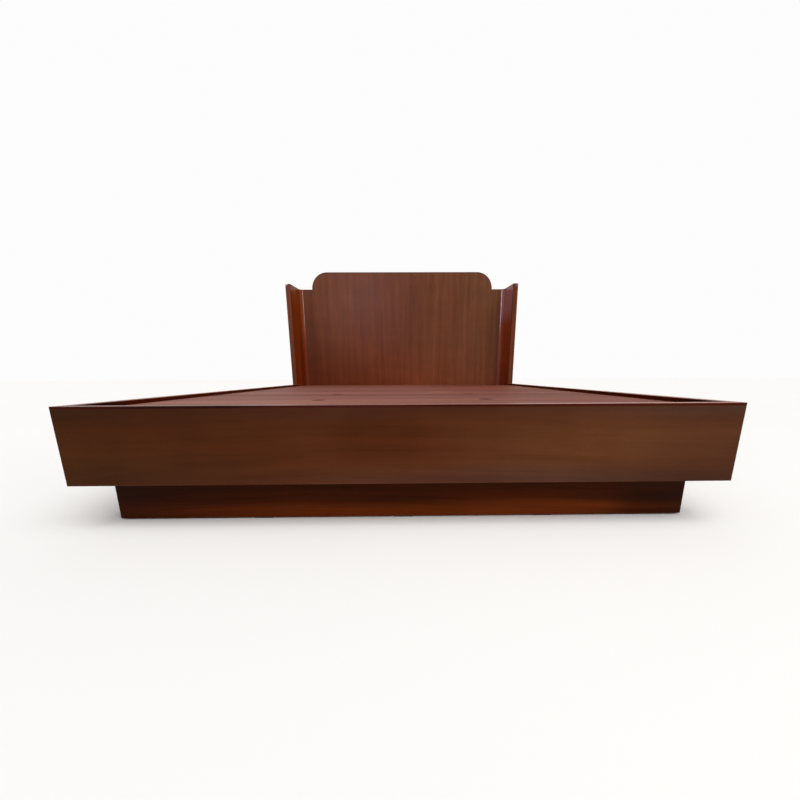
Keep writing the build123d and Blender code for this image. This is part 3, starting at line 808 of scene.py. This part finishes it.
@dataclass(frozen=True)
class Plinth:
    """The recessed base with its glides."""

    front_y: float = -0.99

    def dress(self) -> None:
        """Veneer runs along the four boards."""
        y = self.front_y
        # Painted light on the front and rear boards: shadow under the overhanging rail at the top,
        # floor-bounce light near the floor with a brighter pool right of centre, and darker ends.
        painted_shadow_and_bounce = (
            Shade(UP, 0.028, 0.052, (1.80, 1.66, 1.05), (0.77, 0.58, 0.36), waver=0.006),
            Shade(UP, 0.080, 0.105, AS_IS, (0.90, 1.02, 1.35)),
            Shade(TO_RIGHT, -0.72, -0.25, (0.52, 0.38, 0.12), AS_IS, waver=0.06),
            Shade(TO_RIGHT, 0.52, 0.61, AS_IS, (0.70, 0.66, 0.54), waver=0.03),
            Patch(centre=(0.30, y, 0.03), reach=(0.32, 1.0, 0.08), tone=(1.30, 1.32, 1.20)),
            Patch(centre=(0.68, y, 0.02), reach=(0.16, 1.0, 0.07), tone=(0.72, 0.62, 0.56)),
        )
        ends = Veneer(
            "plinth_end_veneer",
            Grain.ACROSS_BED,
            seed=12.0,
            sheen_level=0.07,
            shades=painted_shadow_and_bounce,
            **PLINTH_TONES,
        )
        dress(ends, "plinth_front", "plinth_rear")
        sides = Veneer("plinth_side_veneer", Grain.ALONG_BED, seed=15.0, **PLINTH_TONES)
        dress(sides, "plinth_side_left", "plinth_side_right")
        plastic = MouldedPlastic("glide_plastic", linear(34, 24, 20), linear(48, 35, 29))
        dress(plastic, "plinth_glides")


@dataclass(frozen=True)
class Headboard:
    """Panel, wings and their lippings."""

    cove_x: float = 0.735
    corner_mark_reach: Triple = (0.024, 0.030, 0.014)

    def dress(self) -> None:
        """Upright veneer on panel and wings, solid wood on the edges."""
        self.dress_panel()
        # Painted shade in the lower part of the left cove, and a painted bluish sheen near the top
        # of the left wing's inner face.
        painted_cove_shade = Patch(
            centre=(-0.740, 0.99, 0.44), reach=(0.036, 0.08, 0.36), tone=(0.70, 0.42, 0.15)
        )
        painted_sheen_top = Patch(
            centre=(-0.752, 0.90, 0.95), reach=(0.032, 0.20, 0.16), tone=(1.06, 1.6, 2.6)
        )
        self.dress_wing(
            "left",
            tones=WING_TONES,
            patches=(painted_cove_shade, painted_sheen_top),
            warmth=(0.87, 0.70, 0.55),
            cove_roughness=0.27,
        )
        # A painted mauve reflection near the top of the right wing, whose tones are brightened as
        # painted light.
        painted_mauve_reflection = Patch(
            centre=(0.752, 0.92, 0.89),
            reach=(0.032, 0.30, 0.20),
            tone=linear(164, 106, 102),
            cover=Cover.PAINT,
        )
        self.dress_wing(
            "right",
            tones=gained(WING_TONES, (1.32, 1.30, 1.25)),
            patches=(painted_mauve_reflection,),
            warmth=(0.80, 0.95, 1.0),
            cove_roughness=0.17,
        )
        self.dress_caps()
        self.dress_nosings()

    def dress_panel(self) -> None:
        """Veneer the panel."""
        # The upward shades give a redder foot and a greyer, bluer top; the top's tint is partly
        # painted reflection and partly the leaf's own tone. The other shades darken the lower left
        # and lift the right.
        shades = (
            Shade(UP, 0.30, 0.62, (1.32, 1.02, 0.86), (1.06, 1.0, 0.92)),
            Shade(UP, 0.75, 1.06, AS_IS, (0.96, 1.06, 1.10)),
            Shade(TO_UPPER_RIGHT, -0.14, 0.30, (0.64, 0.57, 0.42), AS_IS, waver=0.05),
            Shade(TO_RIGHT, -0.15, 0.50, (1.04, 0.95, 0.74), (1.10, 1.50, 2.05), waver=0.05),
            Shade(TO_RIGHT, -0.42, -0.05, (1.0, 1.0, 0.62), AS_IS),
        )
        veneer = Veneer(
            "panel_veneer",
            Grain.UPRIGHT,
            streaks_per_metre=30.0,
            streak_run=1.2,
            drift=0.02,
            fine_per_metre=190.0,
            fine_run=9.0,
            fine_depth=0.12,
            seed=21.0,
            gloss=0.34,
            sheen_level=0.04,
            warmth=(1.0, 0.86, 0.78),
            shades=shades,
            **PANEL_TONES,
        )
        dress(veneer, "headboard_panel")

    def dress_wing(
        self,
        name: str,
        tones: dict[str, Colour],
        patches: tuple[Patch, ...],
        warmth: Colour,
        cove_roughness: float,
    ) -> None:
        """Veneer one wing, with its own tones and patches.

        Args:
            name: left or right.
            tones: the wing's colours, from the deepest to the lightest; brightened ones paint
                light.
            patches: painted shade and painted reflections that this wing has and the other lacks.
            warmth: the tint of the lacquer's reflections.
            cove_roughness: how smooth the lacquer is in the upper part of the cove.
        """
        x = -self.cove_x if name == "left" else self.cove_x
        foot = Shade(UP, 0.28, 0.50, (0.86, 0.72, 0.58), AS_IS)
        high_cove = Polish(
            centre=(x, 1.0, 0.95), reach=(0.024, 0.05, 0.36), core=0.5, roughness=cove_roughness
        )
        low_cove = Polish(
            centre=(x, 1.0, 0.40), reach=(0.030, 0.06, 0.38), core=0.6, roughness=0.60
        )
        veneer = Veneer(
            f"wing_veneer_{name}",
            Grain.UPRIGHT,
            streaks_per_metre=22.0,
            drift=0.02,
            fine_per_metre=150.0,
            fine_depth=0.08,
            seed=27.0,
            gloss=0.32,
            sheen_level=0.22,
            warmth=warmth,
            shades=(foot, *patches),
            polishes=(high_cove, low_cove),
            **tones,
        )
        dress(veneer, f"wing_{name}")

    def dress_caps(self) -> None:
        """Finish the lipping along the stepped top."""
        cap = dict(
            roughness=0.6,
            sheen_level=0.03,
            **paint(side_dark=(78, 32, 14), side_light=(100, 46, 22)),
            **paint(top_dark=(84, 38, 18), top_light=(108, 54, 30)),
        )
        dress(EdgeStrip("headboard_cap_wood", Grain.ACROSS_BED, **cap), "headboard_cap")
        wing_cap = EdgeStrip("wing_cap_wood", Grain.ALONG_BED, seed=2.0, **cap)
        dress(wing_cap, "wing_cap_left", "wing_cap_right")

    def dress_nosings(self) -> None:
        """Finish the wings' front edges, each with small pale and dark spots below its outer top
        corner.
        """
        corner_marks = {
            "left": ((0.022, linear(84, 70, 74)), (0.0, linear(226, 212, 200))),
            "right": ((0.010, linear(112, 98, 98)),),
        }
        for name, marks in corner_marks.items():
            low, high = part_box(f"wing_nosing_{name}")
            outer = low.x if name == "left" else high.x
            size = dict(reach=self.corner_mark_reach, core=0.5)
            patches = tuple(
                Patch(centre=(outer, low.y, high.z - drop), tone=tone, cover=Cover.PAINT, **size)
                for drop, tone in marks
            )
            wood = SolidWood(
                f"nosing_wood_{name}",
                Grain.UPRIGHT,
                roughness=0.45,
                sheen_level=0.06,
                shades=patches,
                **paint(dark=(90, 40, 16), light=(114, 56, 26)),
            )
            dress(wood, f"wing_nosing_{name}")


@dataclass(frozen=True)
class Deck:
    """The two lift-out deck panels."""

    seeds: tuple[tuple[str, float], ...] = (("deck_panel_foot", 2.0), ("deck_panel_head", 9.0))

    def dress(self) -> None:
        """Stained plywood, each panel cut from its own sheet."""
        tones = paint(
            dark=(106, 66, 58),
            ground=(121, 78, 69),
            light=(135, 90, 80),
            ply_dark=(34, 16, 11),
            ply_light=(58, 31, 23),
        )
        shades = (
            Shade(TO_RIGHT, 0.05, 0.50, (1.04, 1.01, 0.98), (0.87, 0.65, 0.50)),
            Shade(TO_HEAD, -0.75, -0.15, AS_IS, (0.86, 0.82, 0.80)),
            Shade(TO_HEAD, 0.2, 1.0, (1.06, 1.04, 1.02), (0.90, 0.86, 0.84)),
            Patch(centre=(0.09, -0.29, 0.286), reach=(0.06, 0.06, 1.0), tone=(1.14, 1.28, 1.28)),
            Patch(centre=(0.17, -0.17, 0.286), reach=(0.09, 0.08, 1.0), tone=(1.36, 1.72, 1.72)),
        )
        for node, seed in self.seeds:
            board = DeckBoard(
                f"{node}_board", face_height=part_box(node)[1].z, seed=seed, shades=shades, **tones
            )
            dress(board, node)


@dataclass(frozen=True)
class UnderFrame:
    """Bearers, spine, ledgers, blocks and the other timber that the deck and veneer hide."""

    crosswise: tuple[str, ...] = (
        "bearer_foot",
        "bearer_middle",
        "bearer_head",
        "foot_ledger",
        "head_rail",
        "plinth_cross_rail_foot",
        "plinth_cross_rail_head",
    )
    lengthwise: tuple[str, ...] = ("spine", "side_ledger_left", "side_ledger_right")
    upright: tuple[str, ...] = (
        "corner_block_left",
        "corner_block_right",
        "plinth_glue_blocks",
        "wing_tongue_left",
        "wing_tongue_right",
    )

    def dress(self) -> None:
        """Bare softwood, with its grain along each stick."""
        bare = dict(roughness=0.7, **paint(dark=(150, 112, 74), light=(196, 160, 116)))
        dress(SolidWood("cross_timber", Grain.ACROSS_BED, **bare), *self.crosswise)
        dress(SolidWood("long_timber", Grain.ALONG_BED, **bare), *self.lengthwise)
        dress(SolidWood("upright_timber", Grain.UPRIGHT, **bare), *self.upright)


class Recess(Enum):
    """What the driver fits."""

    CROSS = "cross"
    HEX = "hex"


# A head rises from its rim in steps: each one's share of the height and gain in width.
HEAD_RIM = 0.35
HEAD_STEPS = ((0.40, 0.95), (0.25, 0.86))

# A turn of thread, as shares of the pitch: flank out, crest, flank in.
THREAD_ROOT = 0.76
THREAD_STEPS = ((0.40, 1 / THREAD_ROOT), (0.15, 1.0), (0.45, THREAD_ROOT))
TIP_GAIN = 0.08

# The cross recess: its arms' length by their width, and how much they narrow with depth.
CROSS_SLENDERNESS = 4
CROSS_TAPER = 0.45

SAME_CORNER = 1e-6
SMOOTH_ANGLE = math.radians(38.0)


@dataclass(frozen=True)
class Fastener:
    """One kind of screw or bolt, modelled once and set into each seat of its CAD node.

    The thread's length is measured from where it starts to the tip. Lengths are in metres.
    """

    node: str
    piece: str
    thread_length: float
    head_radius: float = 0.005
    head_height: float = 0.0025
    thread_radius: float = 0.0025
    pitch: float = 0.0018
    point_length: float = 0.004
    recess: Recess = Recess.CROSS
    recess_width: float = 0.0058
    recess_depth: float = 0.0016
    facets: int = 12

    def solids(self) -> list[list[Vector]]:
        """Part the node into its separate solids.

        Returns:
            The corners of each one.
        """
        net = bmesh.new()
        net.from_mesh(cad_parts[self.node].data)
        bmesh.ops.remove_doubles(net, verts=net.verts, dist=SAME_CORNER)
        unseen = set(net.verts)
        found = []
        while unseen:
            front = [unseen.pop()]
            solid = []
            while front:
                corner = front.pop()
                solid.append(corner.co.copy())
                for edge in corner.link_edges:
                    other = edge.other_vert(corner)
                    if other in unseen:
                        unseen.remove(other)
                        front.append(other)
            found.append(solid)
        net.free()
        return sorted(found, key=lambda solid: tuple(self.limits(solid)[0]))

    @staticmethod
    def limits(corners: list[Vector]) -> tuple[Vector, Vector]:
        """The box round some points.

        Args:
            corners: the points.

        Returns:
            Its lowest and its highest corner.
        """
        low = Vector([min(corner[i] for corner in corners) for i in range(3)])
        high = Vector([max(corner[i] for corner in corners) for i in range(3)])
        return low, high

    def seat(self, solid: list[Vector]) -> tuple[Matrix, float]:
        """Where one fastener sits.

        Args:
            solid: the corners of its CAD solid.

        Returns:
            The matrix that puts a fastener made at the origin, head up, into this seat, and
            its length.
        """
        low, high = self.limits(solid)
        size = high - low
        axis = max(range(3), key=lambda i: size[i])
        middle = (low + high) / 2

        def width(end: float) -> float:
            """How far the solid reaches from its axis near one end."""
            near = [c - middle for c in solid if abs(c[axis] - end) < self.head_height]
            return max(math.hypot(offset[axis - 1], offset[axis - 2]) for offset in near)

        head_is_high = width(high[axis]) > width(low[axis])
        outward = Vector((0.0, 0.0, 0.0))
        outward[axis] = 1.0 if head_is_high else -1.0
        top = middle.copy()
        top[axis] = high[axis] if head_is_high else low[axis]
        turn = outward.to_track_quat("Z", "Y").to_matrix().to_4x4()
        return Matrix.Translation(top) @ turn, size[axis]

    def pick_end(self, piece: bpy.types.Object, towards: float) -> None:
        """Select a piece's end face, and enter edit mode.

        Args:
            piece: the piece.
            towards: 1 for the end that looks up, -1 for the one that looks down.
        """
        bpy.context.tool_settings.mesh_select_mode = (False, False, True)
        bpy.ops.object.mode_set(mode="EDIT")
        bpy.ops.mesh.select_all(action="DESELECT")
        bpy.ops.object.mode_set(mode="OBJECT")
        end = max(
            piece.data.polygons, key=lambda face: (face.normal.z + face.center.z) * towards
        )
        end.select = True
        bpy.ops.object.mode_set(mode="EDIT")

    def widen(self, gain: float) -> None:
        """Widen the selected end about the fastener's axis."""
        bpy.ops.transform.resize(value=(gain, gain, 1.0), center_override=(0.0, 0.0, 0.0))

    def push(self, rise: float, gain: float) -> None:
        """Extrude the selected end by a rise, and widen it by a gain."""
        bpy.ops.mesh.extrude_region_move(TRANSFORM_OT_translate={"value": (0.0, 0.0, rise)})
        self.widen(gain)

    def cut_recess(self, piece: bpy.types.Object) -> None:
        """Sink the driver's recess into the head.

        Args:
            piece: the fastener, with the top of its head at the origin.
        """
        width, depth = self.recess_width, 2 * self.recess_depth
        if self.recess is Recess.HEX:
            bpy.ops.mesh.primitive_cylinder_add(vertices=6, radius=width / 2, depth=depth)
            self.carve(piece, bpy.context.object)
            return
        narrow = width / CROSS_SLENDERNESS
        for size in ((width, narrow, depth), (narrow, width, depth)):
            bpy.ops.mesh.primitive_cube_add(size=1.0, scale=size)
            blade = bpy.context.object
            bpy.ops.object.transform_apply(location=False, rotation=False, scale=True)
            self.pick_end(blade, -1.0)
            self.widen(CROSS_TAPER)
            bpy.ops.object.mode_set(mode="OBJECT")
            self.carve(piece, blade)

    def carve(self, piece: bpy.types.Object, cutter: bpy.types.Object) -> None:
        """Cut one shape out of another.

        Args:
            piece: what is cut.
            cutter: what is taken out of it, and then thrown away.
        """
        cut = piece.modifiers.new("recess", "BOOLEAN")
        cut.operation = "DIFFERENCE"
        cut.solver = "EXACT"
        cut.object = cutter
        bpy.ops.object.select_all(action="DESELECT")
        bpy.context.view_layer.objects.active = piece
        piece.select_set(True)
        bpy.ops.object.modifier_apply(modifier=cut.name)
        bpy.data.objects.remove(cutter)

    def model(self, length: float) -> bpy.types.Object:
        """Turn one fastener, head up, with the top of its head at the origin.

        Args:
            length: from the top of the head to the tip.

        Returns:
            The fastener.
        """
        rim = HEAD_RIM * self.head_height
        bpy.ops.mesh.primitive_cylinder_add(
            vertices=self.facets,
            radius=self.head_radius,
            depth=rim,
            location=(0.0, 0.0, rim / 2 - self.head_height),
        )
        piece = bpy.context.object
        bpy.ops.object.transform_apply(location=True, rotation=False, scale=False)
        self.pick_end(piece, 1.0)
        for share, gain in HEAD_STEPS:
            self.push(share * self.head_height, gain)
        bpy.ops.object.mode_set(mode="OBJECT")
        self.pick_end(piece, -1.0)
        self.push(0.0, THREAD_ROOT * self.thread_radius / self.head_radius)
        turns = int((self.thread_length - self.point_length) / self.pitch)
        plain = length - self.head_height - self.point_length - turns * self.pitch
        self.push(-plain, 1.0)
        for _ in range(turns):
            for share, gain in THREAD_STEPS:
                self.push(-share * self.pitch, gain)
        if self.point_length:
            self.push(-self.point_length, TIP_GAIN)
        bpy.ops.object.mode_set(mode="OBJECT")
        self.cut_recess(piece)
        return piece

    def build(self) -> bpy.types.Object:
        """Set one fastener into each seat and join them into one piece.

        Returns:
            The piece, which replaces the node.
        """
        seats = [self.seat(solid) for solid in self.solids()]
        bpy.ops.object.select_all(action="DESELECT")
        master = self.model(seats[0][1])
        copies = []
        for matrix, _ in seats:
            mesh = master.data.copy()
            mesh.transform(matrix)
            copy = bpy.data.objects.new(self.piece, mesh)
            bpy.context.collection.objects.link(copy)
            copies.append(copy)
        bpy.data.objects.remove(master)
        bpy.ops.object.select_all(action="DESELECT")
        for copy in copies:
            copy.select_set(True)
        bpy.context.view_layer.objects.active = copies[0]
        bpy.ops.object.join()
        joined = bpy.context.object
        joined.name = self.piece
        bpy.ops.object.shade_smooth_by_angle(angle=SMOOTH_ANGLE)
        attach(joined, "bed")
        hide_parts(self.node)
        log.info("%s: %d pieces", self.piece, len(seats))
        return joined


@dataclass(frozen=True)
class Fittings:
    """Screws, brackets, bolts and the hook-and-slot plates."""

    small_parts: tuple[str, ...] = ("brackets", "inserts")
    plates: tuple[str, ...] = ("hook_plate", "slot_plate")
    screws: tuple[tuple[str, float], ...] = (
        ("bearer_bracket", 0.0150),
        ("plinth_bracket", 0.0150),
        ("ledger", 0.0280),
    )

    def dress(self) -> None:
        """All are zinc-plated steel; screws have a cross recess and bolts a hexagon socket."""
        names = sorted(
            name
            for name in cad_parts
            if name.endswith(self.small_parts) or name.startswith(self.plates)
        )
        steel = PlatedSteel("plated_steel", linear(150, 148, 142), linear(188, 186, 178))
        material = dress(steel, *names)
        fasteners = [
            Fastener(f"{place}_screws", f"{place}_cross_screws", thread_length)
            for place, thread_length in self.screws
        ]
        fasteners.append(
            Fastener(
                "headboard_bolts",
                "headboard_socket_bolts",
                thread_length=0.0200,
                head_radius=0.008,
                head_height=0.0045,
                thread_radius=0.004,
                pitch=0.00125,
                point_length=0.0,
                recess=Recess.HEX,
                recess_width=0.0058,
                recess_depth=0.0025,
                facets=24,
            )
        )
        for fastener in fasteners:
            fastener.build().data.materials.append(material)


@dataclass(frozen=True)
class Softbox:
    """A square lamp that the camera can't see, in metres and watts."""

    name: str
    place: Triple
    target: Triple
    side: float
    power: float
    colour: Colour
    only_gloss: bool = False

    def hang(self) -> None:
        """Hang it; one for gloss alone shows in the lacquer and lights nothing else."""
        bpy.ops.object.light_add(type="AREA", location=self.place)
        lamp = bpy.context.object
        lamp.name = self.name
        lamp.data.shape = "SQUARE"
        lamp.data.size = self.side
        lamp.data.energy = self.power
        lamp.data.color = self.colour
        facing = Vector(self.target) - Vector(self.place)
        lamp.rotation_euler = facing.to_track_quat("-Z", "Y").to_euler()
        lamp.visible_camera = False
        lamp.visible_diffuse = not self.only_gloss


@dataclass(frozen=True)
class Studio:
    """Floor, soft lights and camera."""

    floor_half: float = 30.0
    camera_place: Triple = (0.0035, -1.8964, 0.3643)
    camera_pitch: float = 13.711
    camera_yaw: float = 0.8125
    camera_roll: float = 0.281
    lens: float = 16.541
    sensor_width: float = 36.0
    shift: tuple[float, float] = (-0.0110, 0.0804)
    nearest_seen: float = 0.01
    fill: float = 0.40
    fill_colour: Colour = (1.0, 0.985, 0.97)
    backdrop: float = 0.98
    backdrop_colour: Colour = (1.0, 1.0, 1.0)
    sun_from: Triple = (0.20, -0.42, 0.88)
    sun_strength: float = 2.2
    sun_degrees_wide: float = 70.0
    sun_colour: Colour = (1.0, 0.985, 0.965)
    softboxes: tuple[Softbox, ...] = (
        Softbox(
            "window",
            place=(-0.9, -4.0, 1.95),
            target=(0.1, 1.0, 0.8),
            side=1.2,
            power=260.0,
            colour=(0.50, 0.68, 1.0),
            only_gloss=True,
        ),
        Softbox(
            "side_fill",
            place=(1.7, -2.7, 1.1),
            target=(0.3, -1.0, 0.2),
            side=0.9,
            power=4.0,
            colour=(1.0, 0.96, 0.92),
        ),
    )

    def lay_floor(self) -> None:
        """A plain pale floor that keeps the bed's shadow."""
        bpy.ops.mesh.primitive_plane_add(size=2 * self.floor_half, location=(0, 0, 0))
        floor = bpy.context.object
        floor.name = "floor"
        bench = ShaderBench("floor_paint")
        dull, clean = (0.955, 0.955, 0.955), (0.965, 0.965, 0.965)
        dust = bench.ramp(bench.noise(0.7), (NOISE_LOW, dull), (NOISE_HIGH, clean))
        bench.set(Base_Color=dust, Roughness=0.9, Specular_IOR_Level=0.0)
        floor.data.materials.append(bench.material)

    def light_world(self) -> None:
        """Even soft light from all round; camera and mirrors see a plain white backdrop."""
        world = bpy.data.worlds.new("studio_world")
        bpy.context.scene.world = world
        world.use_nodes = True
        bench = Bench(world.node_tree)
        rays = bench.node("ShaderNodeLightPath").outputs
        seen = bench.math("MAXIMUM", rays["Is Camera Ray"], rays["Is Glossy Ray"])
        seen = bench.math("MAXIMUM", seen, rays["Is Transmission Ray"])
        lit = {"Color": self.fill_colour, "Strength": self.fill}
        plain = {"Color": self.backdrop_colour, "Strength": self.backdrop}
        lights = [bench.node("ShaderNodeBackground", feeds).outputs[0] for feeds in (lit, plain)]
        mix = bench.node("ShaderNodeMixShader", {0: seen, 1: lights[0], 2: lights[1]})
        bench.node("ShaderNodeOutputWorld", {"Surface": mix.outputs[0]})

    def hang_sun(self) -> None:
        """Hang the even key light."""
        bpy.ops.object.light_add(type="SUN")
        lamp = bpy.context.object
        lamp.name = "key_light"
        lamp.data.energy = self.sun_strength
        lamp.data.angle = math.radians(self.sun_degrees_wide)
        lamp.data.color = self.sun_colour
        lamp.rotation_euler = Vector(self.sun_from).to_track_quat("Z", "Y").to_euler()
        lamp.visible_camera = False

    def set_camera(self) -> None:
        """The camera stands at the foot, low and close, and looks a little down."""
        bpy.ops.object.camera_add(location=self.camera_place)
        camera = bpy.context.object
        camera.name = "camera"
        camera.rotation_euler = (
            math.radians(90.0 - self.camera_pitch),
            math.radians(self.camera_roll),
            math.radians(-self.camera_yaw),
        )
        camera.data.lens = self.lens
        camera.data.sensor_width = self.sensor_width
        camera.data.shift_x, camera.data.shift_y = self.shift
        camera.data.clip_start = self.nearest_seen
        bpy.context.scene.camera = camera

    def set_up(self) -> None:
        """Make the whole studio."""
        self.lay_floor()
        self.light_world()
        self.hang_sun()
        for softbox in self.softboxes:
            softbox.hang()
        self.set_camera()
        bpy.context.scene.view_settings.view_transform = "Standard"


def main() -> None:
    """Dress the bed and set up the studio."""
    logging.basicConfig(level=logging.INFO, format="%(message)s")
    bpy.ops.object.select_all(action="DESELECT")
    for assembly in (Rails(), Plinth(), Headboard(), Deck(), UnderFrame(), Fittings()):
        assembly.dress()
        log.info("%s dressed", type(assembly).__name__)
    Studio().set_up()


if __name__ == "__main__":
    main()
